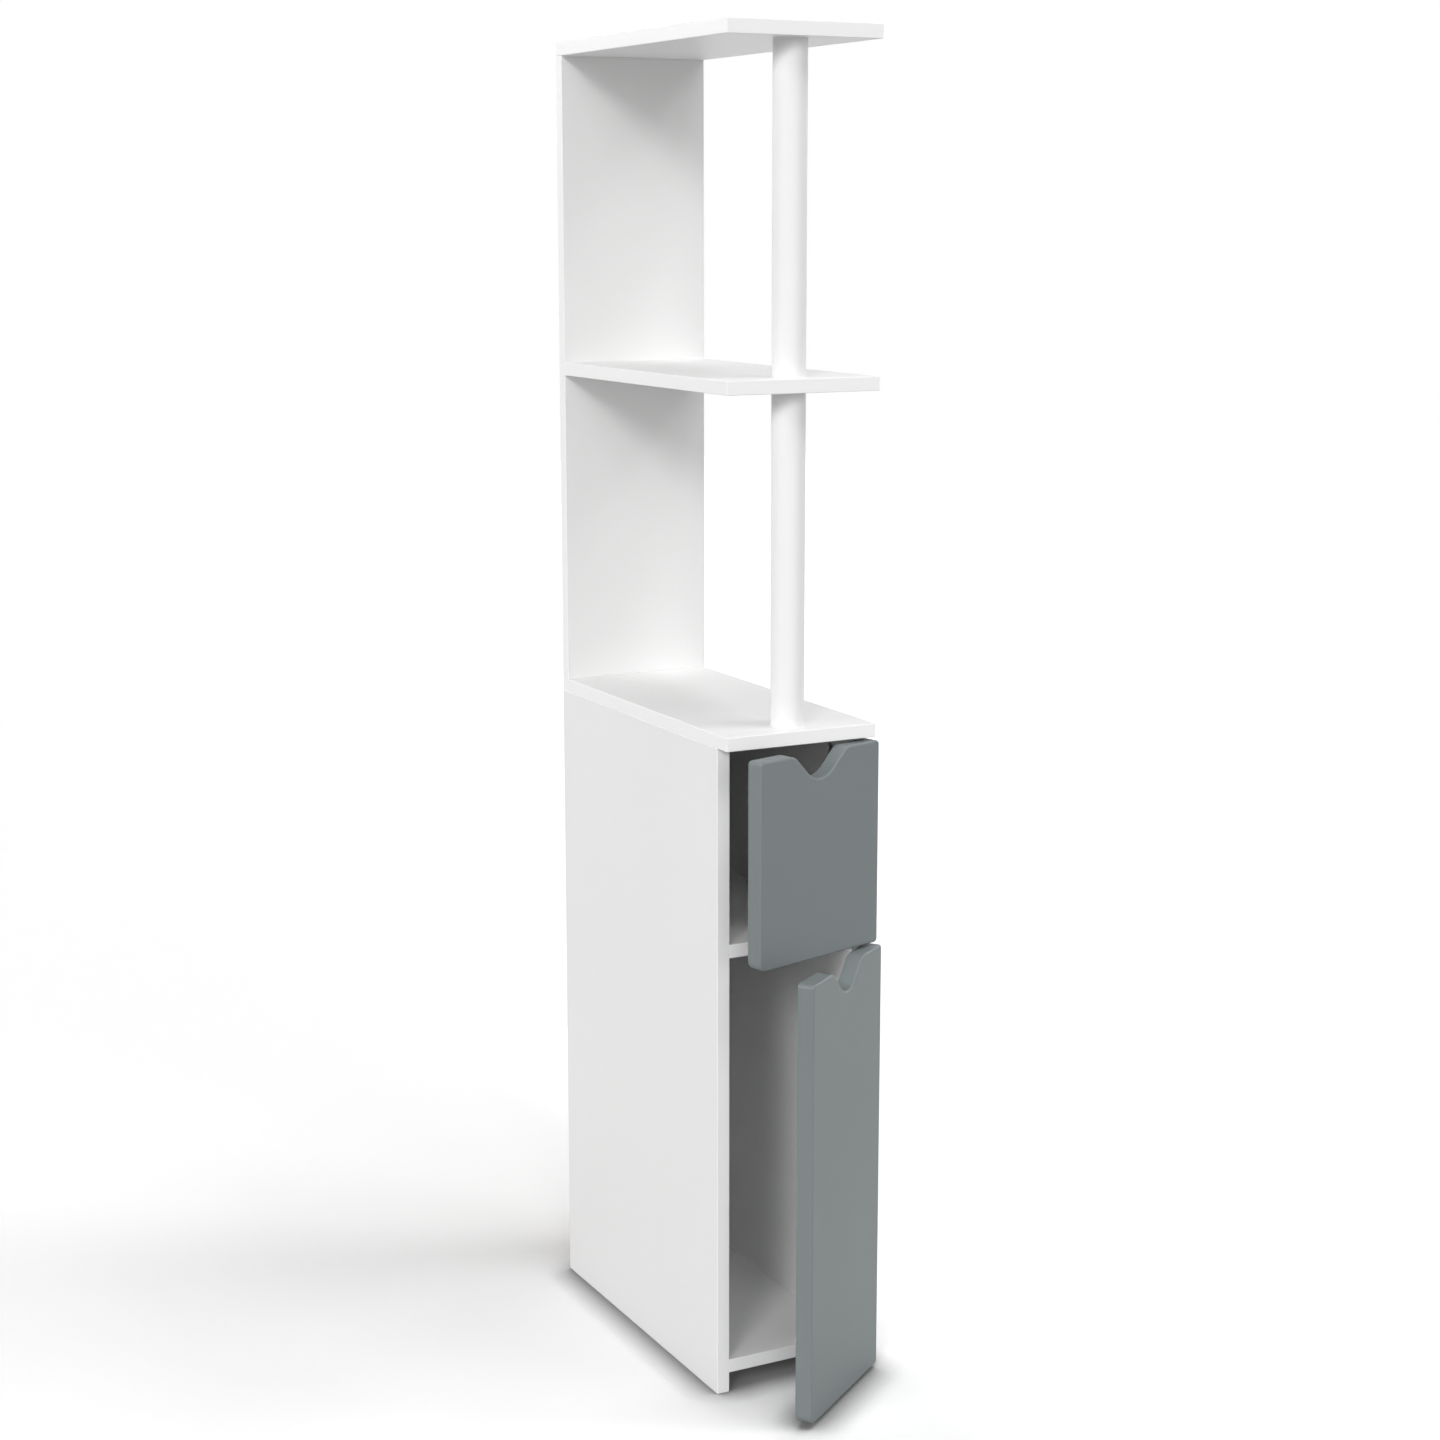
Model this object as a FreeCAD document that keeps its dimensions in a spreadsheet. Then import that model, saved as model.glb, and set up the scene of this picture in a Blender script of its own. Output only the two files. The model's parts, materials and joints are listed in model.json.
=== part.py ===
import FreeCAD, Part
import os
import re
import Sketcher

# Slim floor-standing bathroom cabinet: a two-door base, two open bays above it, a round pole at the front.
# Frame: +X right, +Y towards the wall, +Z up, origin on the floor at mid width in the plane of the wall.

V = FreeCAD.Vector
X, Y, Z = V(1, 0, 0), V(0, 1, 0), V(0, 0, 1)

# Driving sizes in millimetres and degrees
sizes = {
    "cabinet_width": 145,
    "cabinet_depth": 335,
    "cabinet_height": 1180,
    "board": 12,
    "board_edge": 0.6,
    "base_height": 596,
    "toe_height": 18,
    "upper_compartment": 173,
    "lower_bay": 285,
    "back_sheet": 3,
    "back_sheet_inset": 10,
    "groove_depth": 5,
    "groove_play": 0.3,
    "pole_diameter": 29,
    "pole_wall": 1.5,
    "pole_setback": 27,
    "insert_length": 18,
    "stud_diameter": 6,
    "stud_grip": 14,
    "stud_play": 0.25,
    "top_stud_sink": 8,
    "pole_screw_head": 11,
    "pole_screw_crown": 7,
    "pole_screw_head_height": 4,
    "pole_screw_rim": 2,
    "door_thickness": 15,
    "door_gap": 2.4,
    "door_side_gap": 0.5,
    "door_top_gap": 3,
    "door_split_gap": 3,
    "door_floor_gap": 4,
    "door_corner": 3.5,
    "door_foot_corner": 9,
    "door_front_edge": 1.8,
    "door_rear_edge": 0.8,
    "notch_depth": 23,
    "notch_angle": 45,
    "notch_bottom_radius": 20,
    "notch_shoulder_radius": 14,
    "upper_door_turn": 16,
    "lower_door_turn": 36,
    "hinge_offset": 2.6,
    "hinge_length": 40,
    "upper_hinge_inset": 24,
    "lower_hinge_inset": 45,
    "plate_thickness": 1,
    "leaf_margin": 1,
    "barrel_diameter": 4.8,
    "hinge_pin": 2.4,
    "pin_play": 0.05,
    "knuckle_gap": 0.35,
    "hinge_screw_end": 8,
    "small_screw": 2.6,
    "small_screw_head": 4.6,
    "small_screw_length": 11,
    "small_screw_tip": 2.5,
    "catch_position": 28,
    "catch_length": 34,
    "catch_depth": 13,
    "catch_height": 11,
    "catch_flange": 2,
    "catch_block": 19,
    "catch_air": 0.3,
    "catch_screw_pitch": 27,
    "catch_screw_head_height": 1.6,
    "magnet_length": 14,
    "magnet_depth": 10,
    "magnet_height": 5,
    "strike_length": 20,
    "strike_height": 9,
    "cam_diameter": 12,
    "cam_depth": 9,
    "cam_setback": 20,
    "cam_slot_length": 8,
    "cam_slot_width": 1.8,
    "cam_slot_depth": 1.8,
    "bolt_thread": 5,
    "bolt_shank": 6,
    "bolt_neck": 3.5,
    "bolt_neck_length": 4.5,
    "bolt_head_length": 4.5,
    "bolt_grip": 8,
    "bolt_play": 0.25,
    "dowel_diameter": 6,
    "dowel_length": 22,
    "dowel_sink": 8,
    "drill_relief": 0.8,
    "joint_inset": 40,
    "dowel_pitch": 32,
    "back_joint_spread": 45,
    "back_dowel_spread": 20,
    "shelf_screw_spread": 40,
    "shelf_screw": 5,
    "shelf_screw_head": 8,
    "shelf_screw_head_height": 3.5,
    "shelf_screw_length": 42,
    "shelf_screw_tip": 5,
}

# Sizes that follow from the driving ones
panel_depth = "(cabinet_depth - door_thickness - door_gap)"
panel_height = "(base_height - board)"
overhang = "(door_thickness + door_gap)"
inner_width = "(cabinet_width - 2 * board)"
inner_depth = f"({panel_depth} - back_sheet_inset - back_sheet)"
back_height = "(cabinet_height - board - base_height)"
shelf_height = "(base_height + lower_bay)"
upper_bay = "(cabinet_height - base_height - 2 * board - lower_bay)"
divider_height = "(base_height - 2 * board - upper_compartment)"
divider_top = f"({divider_height} + board)"
bottom_top = "(toe_height + board)"
door_width = "(cabinet_width - 2 * door_side_gap)"
hinge_x = "(cabinet_width / 2 + hinge_offset)"
hinge_y = f"(-{panel_depth} - door_gap / 2)"
leaf_reach = "(board + hinge_offset - leaf_margin)"
leaf_start = "(barrel_diameter / 2 + knuckle_gap)"
leaf_screw_x = f"(({leaf_reach} + {leaf_start}) / 2)"
magnet_centre = "(catch_height / 2)"
catch_front = f"(-{panel_depth} - door_gap + plate_thickness + catch_air)"
front_joint = "joint_inset"
rear_joint = f"({inner_depth} - joint_inset)"
front_dowel = "(joint_inset + dowel_pitch)"
rear_dowel = f"({inner_depth} - joint_inset - dowel_pitch)"

# Each door: lower and upper edge, open angle, hinge inset and the board top that carries its catch
doors = {
    "upper": {
        "low": f"({divider_height} + door_split_gap / 2)",
        "high": f"({panel_height} - door_top_gap)",
        "turn": "upper_door_turn",
        "inset": "upper_hinge_inset",
        "catch": divider_top,
    },
    "lower": {
        "low": "door_floor_gap",
        "high": f"({divider_height} - door_split_gap / 2)",
        "turn": "lower_door_turn",
        "inset": "lower_hinge_inset",
        "catch": bottom_top,
    },
}

doc = FreeCAD.newDocument("bathroom_cabinet")
dims = doc.addObject("Spreadsheet::Sheet", "dims")
for row, (alias, size) in enumerate(sizes.items(), 1):
    dims.set(f"A{row}", alias)
    dims.set(f"B{row}", str(size))
    dims.setAlias(f"B{row}", alias)
doc.recompute()

nodes = []


def formula(text):
    return re.sub(r"[a-z_]+", lambda word: ("dims." if word[0] in sizes else "") + word[0], text)


def value(text):
    return float(dims.evalExpression(formula(text)))


def bind(owner, path, text):
    owner.setExpression(path, formula(text))


def place(owner, x, y, z, rotation=FreeCAD.Rotation(), turn=None):
    if turn:
        rotation = FreeCAD.Rotation(Z, value(turn))
    owner.Placement = FreeCAD.Placement(V(), rotation)
    for axis, text in zip("xyz", (x, y, z)):
        bind(owner, f"Placement.Base.{axis}", text)
    if turn:
        bind(owner, "Placement.Rotation.Angle", turn)


def aim(along, across):
    return FreeCAD.Rotation(across, along.cross(across), along, "ZXY")


# Sketching: every point is tied to the sketch origin by two sizes

def new_sketch(body, plane, offset="0"):
    sketch = body.newObject("Sketcher::SketchObject", body.Name + "_sketch")
    support = [feature for feature in body.Origin.OriginFeatures if feature.Role == plane]
    sketch.AttachmentSupport = [(support[0], "")]
    sketch.MapMode = "FlatFace"
    bind(sketch, "AttachmentOffset.Base.z", offset)
    return sketch


def size_constraint(sketch, kind, *where, text):
    index = sketch.addConstraint(Sketcher.Constraint(kind, *where, value(text)))
    sketch.renameConstraint(index, f"size_{index}")
    bind(sketch, f"Constraints.size_{index}", text)


def pin_point(sketch, geometry, point, x, y):
    for kind, axis, text in (("DistanceX", -2, x), ("DistanceY", -1, y)):
        if text == "0":
            sketch.addConstraint(Sketcher.Constraint("PointOnObject", geometry, point, axis))
        else:
            size_constraint(sketch, kind, -1, 1, geometry, point, text=text)


def draw_polygon(sketch, points):
    first = sketch.GeometryCount
    corners = [V(value(x), value(y), 0) for x, y in points]
    for start, end in zip(corners, corners[1:] + corners[:1]):
        sketch.addGeometry(Part.LineSegment(start, end), False)
    for index, (x, y) in enumerate(points):
        following = first + (index + 1) % len(points)
        sketch.addConstraint(Sketcher.Constraint("Coincident", first + index, 2, following, 1))
        pin_point(sketch, first + index, 1, x, y)


def draw_rectangle(sketch, left, low, right, high):
    draw_polygon(sketch, [(left, low), (right, low), (right, high), (left, high)])


def draw_circles(sketch, centres, diameter):
    radius = f"({diameter}) / 2"
    for x, y in centres:
        circle = Part.Circle(V(value(x), value(y), 0), Z, value(radius))
        index = sketch.addGeometry(circle, False)
        pin_point(sketch, index, 3, x, y)
        size_constraint(sketch, "Radius", index, text=radius)


# Features

def new_body(label, is_node=True):
    body = doc.addObject("PartDesign::Body", label)
    body.Label = label
    if is_node:
        nodes.append(body)
    return body


def pad(body, sketch, length):
    feature = body.newObject("PartDesign::Pad", body.Name + "_pad")
    feature.Profile = sketch
    bind(feature, "Length", length)
    doc.recompute()
    return feature


def pocket(body, sketch, length, along_normal):
    before = body.Shape.Volume
    feature = body.newObject("PartDesign::Pocket", body.Name + "_pocket")
    feature.Profile = sketch
    feature.Reversed = along_normal
    bind(feature, "Length", length)
    doc.recompute()
    if not body.Shape.Volume < before:
        raise RuntimeError(f"{feature.Name} cuts nothing")
    return feature


def revolve(body, points):
    sketch = new_sketch(body, "XZ_Plane")
    draw_polygon(sketch, points)
    feature = body.newObject("PartDesign::Revolution", body.Name + "_turned")
    feature.Profile = sketch
    feature.ReferenceAxis = (sketch, ["V_Axis"])
    doc.recompute()
    return feature


def round_edges(body, wanted, radius):
    base = body.Tip
    names = [f"Edge{index}" for index, edge in enumerate(base.Shape.Edges, 1) if wanted(edge)]
    feature = body.newObject("PartDesign::Fillet", body.Name + "_round")
    feature.Base = (base, names)
    bind(feature, "Radius", radius)
    doc.recompute()
    return feature


def group(label, pattern, spots):
    copies = []
    for x, y, z, rotation in spots:
        copy = doc.addObject("App::Link", pattern.Name + "_copy")
        copy.LinkedObject = pattern
        place(copy, x, y, z, rotation)
        copies.append(copy)
    compound = doc.addObject("Part::Compound", label)
    compound.Label = label
    compound.Links = copies
    nodes.append(compound)
    return compound


# Boards: local origin at the lower front left corner

class Board:
    def __init__(self, label, width, depth, height, x, y, z, edge="board_edge"):
        self.body = new_body(label)
        self.faces = {
            "top": ("XY_Plane", height, False),
            "bottom": ("XY_Plane", "0", True),
            "right": ("YZ_Plane", width, False),
            "left": ("YZ_Plane", "0", True),
            "front": ("XZ_Plane", "0", False),
            "back": ("XZ_Plane", f"-{depth}", True),
        }
        place(self.body, x, y, z)
        outline = new_sketch(self.body, "XY_Plane")
        draw_rectangle(outline, "0", "0", width, depth)
        pad(self.body, outline, height)
        if edge:
            round_edges(self.body, lambda line: True, edge)

    def drill(self, face, centres, diameter, depth):
        plane, offset, along_normal = self.faces[face]
        sketch = new_sketch(self.body, plane, offset)
        draw_circles(sketch, centres, diameter)
        pocket(self.body, sketch, depth, along_normal)

    def groove(self, face, left, low, right, high, depth):
        plane, offset, along_normal = self.faces[face]
        sketch = new_sketch(self.body, plane, offset)
        draw_rectangle(sketch, left, low, right, high)
        pocket(self.body, sketch, depth, along_normal)


bolt_bore = "bolt_shank + 2 * bolt_play"
stud_bore = "stud_diameter + 2 * stud_play"
thread_depth = "bolt_grip + drill_relief"
dowel_short = "dowel_sink + drill_relief"
dowel_long = "dowel_length - dowel_sink + drill_relief"
mid_width = "(cabinet_width / 2)"
fit_rows = (front_joint, rear_joint)
dowel_rows = (front_dowel, rear_dowel)


def make_side_panel(label, x, inner_face):
    side = Board(label, "board", panel_depth, panel_height, x, f"-{panel_depth}", "0")
    levels = ("(toe_height + board / 2)", f"({divider_height} + board / 2)")
    bolt_holes = [(row, level) for row in fit_rows for level in levels]
    dowel_holes = [(row, level) for row in dowel_rows for level in levels]
    side.drill(inner_face, bolt_holes, "bolt_thread", thread_depth)
    side.drill(inner_face, dowel_holes, "dowel_diameter", dowel_short)
    cam_level = f"({panel_height} - cam_setback)"
    side.drill(inner_face, [(row, cam_level) for row in fit_rows], "cam_diameter", "cam_depth")
    side.drill("top", [("board / 2", row) for row in fit_rows], bolt_bore, "cam_setback")
    side.drill("top", [("board / 2", row) for row in dowel_rows], "dowel_diameter", dowel_long)
    sheet_back = f"({panel_depth} - back_sheet_inset)"
    sheet_front = f"({sheet_back} - back_sheet - groove_play)"
    side.groove(inner_face, sheet_front, "toe_height", sheet_back, panel_height, "groove_depth")
    return side


def make_level_board(label, z):
    level = Board(label, inner_width, inner_depth, "board", f"-{inner_width} / 2", f"-{panel_depth}", z)
    for end in ("left", "right"):
        level.drill(end, [(row, "board / 2") for row in fit_rows], bolt_bore, "cam_setback")
        level.drill(end, [(row, "board / 2") for row in dowel_rows], "dowel_diameter", dowel_long)
    ends = ("cam_setback", f"({inner_width} - cam_setback)")
    level.drill("bottom", [(end, row) for end in ends for row in fit_rows], "cam_diameter", "cam_depth")
    return level


left_side = make_side_panel("left_side_panel", "-cabinet_width / 2", "right")
right_side = make_side_panel("right_side_panel", "cabinet_width / 2 - board", "left")
bottom_board = make_level_board("bottom_board", "toe_height")
divider_board = make_level_board("divider_board", divider_height)

# Hardboard back of the base, in grooves of the side panels
sheet_width = f"({inner_width} + 2 * groove_depth - 2 * groove_play)"
Board(
    "base_back_panel", sheet_width, "back_sheet", f"({panel_height} - toe_height)",
    f"-{sheet_width} / 2", "-back_sheet_inset - back_sheet", "toe_height", edge=None,
)

# Base top: joined to the side panels below, to the back board above and to the pole
side_columns = ("(board / 2)", "(cabinet_width - board / 2)")
back_columns = (f"({mid_width} - back_joint_spread)", f"({mid_width} + back_joint_spread)")
back_dowels = (f"({mid_width} - back_dowel_spread)", f"({mid_width} + back_dowel_spread)")
back_row = "(cabinet_depth - board / 2)"

base_top = Board(
    "base_top_board", "cabinet_width", "cabinet_depth", "board",
    "-cabinet_width / 2", "-cabinet_depth", panel_height,
)
base_top.drill(
    "bottom", [(column, f"{overhang} + {row}") for column in side_columns for row in fit_rows],
    "bolt_thread", thread_depth,
)
base_top.drill(
    "bottom", [(column, f"{overhang} + {row}") for column in side_columns for row in dowel_rows],
    "dowel_diameter", dowel_short,
)
base_top.drill("top", [(column, back_row) for column in back_columns], "bolt_thread", thread_depth)
base_top.drill("top", [(column, back_row) for column in back_dowels], "dowel_diameter", dowel_short)
base_top.drill("bottom", [(mid_width, "pole_setback")], stud_bore, "board")

# Back board of the open bays, locked from behind
upper_back = Board(
    "upper_back_board", "cabinet_width", "board", back_height, "-cabinet_width / 2", "-board", "base_height",
)
for end in ("top", "bottom"):
    upper_back.drill(end, [(column, "board / 2") for column in back_columns], bolt_bore, "cam_setback")
    upper_back.drill(end, [(column, "board / 2") for column in back_dowels], "dowel_diameter", dowel_long)
cam_levels = ("cam_setback", f"({back_height} - cam_setback)")
upper_back.drill(
    "back", [(column, level) for column in back_columns for level in cam_levels], "cam_diameter", "cam_depth",
)
shelf_screw_columns = (f"({mid_width} - shelf_screw_spread)", f"({mid_width} + shelf_screw_spread)")
shelf_screw_level = "(lower_bay + board / 2)"
shelf_screw_holes = [(column, shelf_screw_level) for column in shelf_screw_columns]
upper_back.drill("back", shelf_screw_holes, "shelf_screw", "board")
upper_back.drill("back", shelf_screw_holes, "shelf_screw_head", "shelf_screw_head_height")

middle_shelf = Board(
    "middle_shelf", "cabinet_width", "(cabinet_depth - board)", "board",
    "-cabinet_width / 2", "-cabinet_depth", shelf_height,
)
middle_shelf.drill(
    "back", [(column, "board / 2") for column in shelf_screw_columns],
    "shelf_screw", "shelf_screw_length - board + drill_relief",
)
middle_shelf.drill("bottom", [(mid_width, "pole_setback")], stud_bore, "board")

top_board = Board(
    "top_board", "cabinet_width", "cabinet_depth", "board",
    "-cabinet_width / 2", "-cabinet_depth", "cabinet_height - board",
)
top_board.drill("bottom", [(column, back_row) for column in back_columns], "bolt_thread", thread_depth)
top_board.drill("bottom", [(column, back_row) for column in back_dowels], "dowel_diameter", dowel_short)
top_board.drill("bottom", [(mid_width, "pole_setback")], "stud_diameter", "top_stud_sink + drill_relief")

# Two poles in line, each a tube as tall as its bay with a plug pressed into both ends
pole_y = "pole_setback - cabinet_depth"
pole_bore = "pole_diameter - 2 * pole_wall"


def make_ring(label, outer, bore, length, z):
    body = new_body(label)
    place(body, "0", pole_y, z)
    sketch = new_sketch(body, "XY_Plane")
    draw_circles(sketch, [("0", "0")], outer)
    draw_circles(sketch, [("0", "0")], bore)
    pad(body, sketch, length)


poles = (("lower_pole", "base_height", "lower_bay"), ("upper_pole", f"{shelf_height} + board", upper_bay))
for label, foot, length in poles:
    make_ring(label, "pole_diameter", pole_bore, length, foot)
    make_ring(f"{label}_foot_plug", pole_bore, "stud_diameter", "insert_length", foot)
    head = f"{foot} + {length} - insert_length"
    make_ring(f"{label}_head_plug", pole_bore, "stud_diameter", "insert_length", head)

stud = "stud_diameter / 2"


def make_turned(label, points, x, y, z):
    body = new_body(label)
    revolve(body, points)
    place(body, x, y, z)


def make_pattern(label, points):
    body = new_body(label, is_node=False)
    revolve(body, points)
    return body


shelf_stud_length = "board + 2 * stud_grip"
make_turned(
    "pole_shelf_stud", [("0", "0"), (stud, "0"), (stud, shelf_stud_length), ("0", shelf_stud_length)],
    "0", pole_y, f"{shelf_height} - stud_grip",
)
top_stud_length = "top_stud_sink + stud_grip"
make_turned(
    "pole_top_stud", [("0", "0"), (stud, "0"), (stud, top_stud_length), ("0", top_stud_length)],
    "0", pole_y, "cabinet_height - board - stud_grip",
)
screw_head = "pole_screw_head / 2"
make_turned(
    "pole_base_screw",
    [
        ("0", "-pole_screw_head_height"), ("pole_screw_crown / 2", "-pole_screw_head_height"),
        (screw_head, "-pole_screw_rim"), (screw_head, "0"), (stud, "0"),
        (stud, "board + stud_grip"), ("0", "board + stud_grip"),
    ],
    "0", pole_y, panel_height,
)

# Knock-down fittings: a bolt screwed into one board is caught by a cam in the other, beside a wooden dowel
cam = new_body("cam_pattern", is_node=False)
cam_face = new_sketch(cam, "XY_Plane")
draw_circles(cam_face, [("0", "0")], "cam_diameter")
pad(cam, cam_face, "cam_depth")
cam_mouth = new_sketch(cam, "YZ_Plane", "cam_diameter / 2")
draw_circles(cam_mouth, [("0", "board / 2")], bolt_bore)
pocket(cam, cam_mouth, "(cam_diameter + bolt_head_length) / 2 + bolt_play", False)
cam_drive = new_sketch(cam, "XY_Plane")
slot_end, slot_side = "cam_slot_length / 2", "cam_slot_width / 2"
draw_rectangle(cam_drive, f"-{slot_end}", f"-{slot_side}", slot_end, slot_side)
pocket(cam, cam_drive, "cam_slot_depth", True)

thread, shank, neck = "bolt_thread / 2", "bolt_shank / 2", "bolt_neck / 2"
head_start = "(cam_setback - bolt_head_length / 2)"
head_end = "(cam_setback + bolt_head_length / 2)"
neck_start = f"({head_start} - bolt_neck_length)"
bolt_profile = [
    ("0", "-bolt_grip"), (thread, "-bolt_grip"), (thread, "0"), (shank, "0"),
    (shank, neck_start), (neck, neck_start), (neck, head_start),
    (shank, head_start), (shank, head_end), ("0", head_end),
]
bolt = make_pattern("bolt_pattern", bolt_profile)
dowel_side, dowel_end = "dowel_diameter / 2", "(dowel_length - dowel_sink)"
dowel_profile = [("0", "-dowel_sink"), (dowel_side, "-dowel_sink"), (dowel_side, dowel_end), ("0", dowel_end)]
dowel = make_pattern("dowel_pattern", dowel_profile)

cam_spots, bolt_spots, dowel_spots = [], [], []
for sign, way in (("-", -X), ("", X)):
    side_x = f"{sign}{inner_width} / 2"
    cam_x = f"{sign}({inner_width} / 2 - cam_setback)"
    column = f"{sign}(cabinet_width - board) / 2"
    for row, dowel_row in zip(fit_rows, dowel_rows):
        row_y = f"{row} - {panel_depth}"
        dowel_y = f"{dowel_row} - {panel_depth}"
        for level in ("toe_height", divider_height):
            cam_spots.append((cam_x, row_y, level, aim(Z, way)))
            bolt_spots.append((side_x, row_y, f"{level} + board / 2", aim(-way, Z)))
            dowel_spots.append((side_x, dowel_y, f"{level} + board / 2", aim(-way, Z)))
        cam_spots.append((side_x, row_y, f"{panel_height} - cam_setback", aim(way, Z)))
        bolt_spots.append((column, row_y, panel_height, aim(-Z, X)))
        dowel_spots.append((column, dowel_y, panel_height, aim(-Z, X)))
    for joint_z, inward in (("base_height", Z), ("cabinet_height - board", -Z)):
        reach = "+" if inward == Z else "-"
        cam_z = f"{joint_z} {reach} cam_setback"
        cam_spots.append((f"{sign}back_joint_spread", "0", cam_z, aim(-Y, -inward)))
        bolt_spots.append((f"{sign}back_joint_spread", "-board / 2", joint_z, aim(inward, X)))
        dowel_spots.append((f"{sign}back_dowel_spread", "-board / 2", joint_z, aim(inward, X)))
group("cam_locks", cam, cam_spots)
group("cam_bolts", bolt, bolt_spots)
group("wooden_dowels", dowel, dowel_spots)

# Screws that hold the middle shelf from behind
shelf_screw_rim, shelf_screw_side = "shelf_screw_head / 2", "shelf_screw / 2"
shelf_screw_profile = [
    ("0", "0"), (shelf_screw_rim, "0"), (shelf_screw_rim, "shelf_screw_head_height"),
    (shelf_screw_side, "shelf_screw_head_height"), (shelf_screw_side, "shelf_screw_length - shelf_screw_tip"),
    ("0", "shelf_screw_length"),
]
shelf_screw = make_pattern("shelf_screw_pattern", shelf_screw_profile)
shelf_screw_z = f"{shelf_height} + board / 2"
group(
    "middle_shelf_screws", shelf_screw,
    [(f"{sign}shelf_screw_spread", "0", shelf_screw_z, aim(-Y, X)) for sign in ("-", "")],
)

# Doors: local origin on the hinge axis at floor level, turned about it by the open angle
door_right = "-(hinge_offset + door_side_gap)"
door_left = f"({door_right} - {door_width})"
door_middle = f"({door_right} - {door_width} / 2)"
apex_depth = "(notch_depth + notch_bottom_radius * (1 / cos(notch_angle) - 1))"
notch_half = f"({apex_depth} / tan(notch_angle))"
screw_hole_depth = "small_screw_length - plate_thickness + drill_relief"


tolerance = 0.01
leaf_screw_rises = ("hinge_screw_end", "(hinge_length - hinge_screw_end)")


def hinge_feet(door):
    return (f"({door['low']} + {door['inset']})", f"({door['high']} - {door['inset']} - hinge_length)")


def hinge_screw_levels(door):
    return [f"({foot} + {rise})" for foot in hinge_feet(door) for rise in leaf_screw_rises]


def runs_through(edge, corners):
    middle = edge.CenterOfMass
    return any(
        abs(middle.x - value(x)) < tolerance and abs(middle.z - value(z)) < tolerance for x, z in corners
    )


def lies_in_face(edge, level):
    return edge.BoundBox.YLength < tolerance and abs(edge.CenterOfMass.y - value(level)) < tolerance


def make_door(name, door):
    body = new_body(f"{name}_door_panel")
    place(body, hinge_x, hinge_y, "0", turn=door["turn"])
    low, high = door["low"], door["high"]
    foot = (door_left, low)
    corners = [(door_right, low), (door_right, high), (door_left, high)]
    shoulders = [(f"{door_middle} + {notch_half}", high), (f"{door_middle} - {notch_half}", high)]
    apex = (door_middle, f"{high} - {apex_depth}")
    outline = new_sketch(body, "XZ_Plane", "door_gap / 2")
    draw_polygon(outline, [foot, corners[0], corners[1], shoulders[0], apex, shoulders[1], corners[2]])
    pad(body, outline, "door_thickness")
    round_edges(body, lambda edge: runs_through(edge, [foot]), "door_foot_corner")
    round_edges(body, lambda edge: runs_through(edge, corners), "door_corner")
    round_edges(body, lambda edge: runs_through(edge, [apex]), "notch_bottom_radius")
    round_edges(body, lambda edge: runs_through(edge, shoulders), "notch_shoulder_radius")
    round_edges(body, lambda edge: lies_in_face(edge, "-(door_gap / 2 + door_thickness)"), "door_front_edge")
    round_edges(body, lambda edge: lies_in_face(edge, "-door_gap / 2"), "door_rear_edge")
    screw_holes = [(f"-{leaf_screw_x}", level) for level in hinge_screw_levels(door)]
    screw_holes.append((f"catch_position - {hinge_x}", f"{door['catch']} + {magnet_centre}"))
    holes = new_sketch(body, "XZ_Plane", "door_gap / 2")
    draw_circles(holes, screw_holes, "small_screw")
    pocket(body, holes, screw_hole_depth, True)


# Butt hinges: knuckles of both leaves share one pin, which the frame leaf grips
knuckles = 5
knuckle_pitch = f"((hinge_length + knuckle_gap) / {knuckles})"
frame_exposed = "(door_gap / 2 - plate_thickness)"
door_exposed = "(plate_thickness - door_gap / 2)"
leaves = {
    "frame": {"front": frame_exposed, "exposed": frame_exposed, "drive": Y, "first": 0, "bore": "hinge_pin"},
    "door": {
        "front": "(-door_gap / 2)", "exposed": door_exposed, "drive": -Y, "first": 1,
        "bore": "hinge_pin + 2 * pin_play",
    },
}


def sink_screw(body, x, y, z, drive):
    cone = body.newObject("PartDesign::SubtractiveCone", body.Name + "_sink")
    bind(cone, "Radius1", "small_screw_head / 2")
    bind(cone, "Radius2", "small_screw / 2")
    bind(cone, "Height", "plate_thickness")
    place(cone, x, y, z, aim(drive, X))
    doc.recompute()


def make_leaf(label, kind):
    leaf = leaves[kind]
    body = new_body(label)
    front, back = leaf["front"], f"({leaf['front']} + plate_thickness)"
    plate = new_sketch(body, "XY_Plane")
    draw_rectangle(plate, f"-{leaf_reach}", front, f"-{leaf_start}", back)
    pad(body, plate, "hinge_length")
    for index in range(leaf["first"], knuckles, 2):
        foot = f"{index} * {knuckle_pitch}"
        tongue = new_sketch(body, "XY_Plane", foot)
        draw_rectangle(tongue, f"-{leaf_start}", front, "0", back)
        pad(body, tongue, f"{knuckle_pitch} - knuckle_gap")
        ring = new_sketch(body, "XY_Plane", foot)
        draw_circles(ring, [("0", "0")], "barrel_diameter")
        pad(body, ring, f"{knuckle_pitch} - knuckle_gap")
    hole = new_sketch(body, "XY_Plane")
    draw_circles(hole, [("0", "0")], leaf["bore"])
    pocket(body, hole, "hinge_length", True)
    for rise in leaf_screw_rises:
        sink_screw(body, f"-{leaf_screw_x}", leaf["exposed"], rise, leaf["drive"])
    return body


def make_hinge(hinge, door, foot):
    place(make_leaf(f"{hinge}_frame_leaf", "frame"), hinge_x, hinge_y, foot)
    place(make_leaf(f"{hinge}_door_leaf", "door"), hinge_x, hinge_y, foot, turn=door["turn"])
    pin = new_body(f"{hinge}_pin")
    place(pin, hinge_x, hinge_y, foot)
    section = new_sketch(pin, "XY_Plane")
    draw_circles(section, [("0", "0")], "hinge_pin")
    pad(pin, section, "hinge_length")


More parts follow.
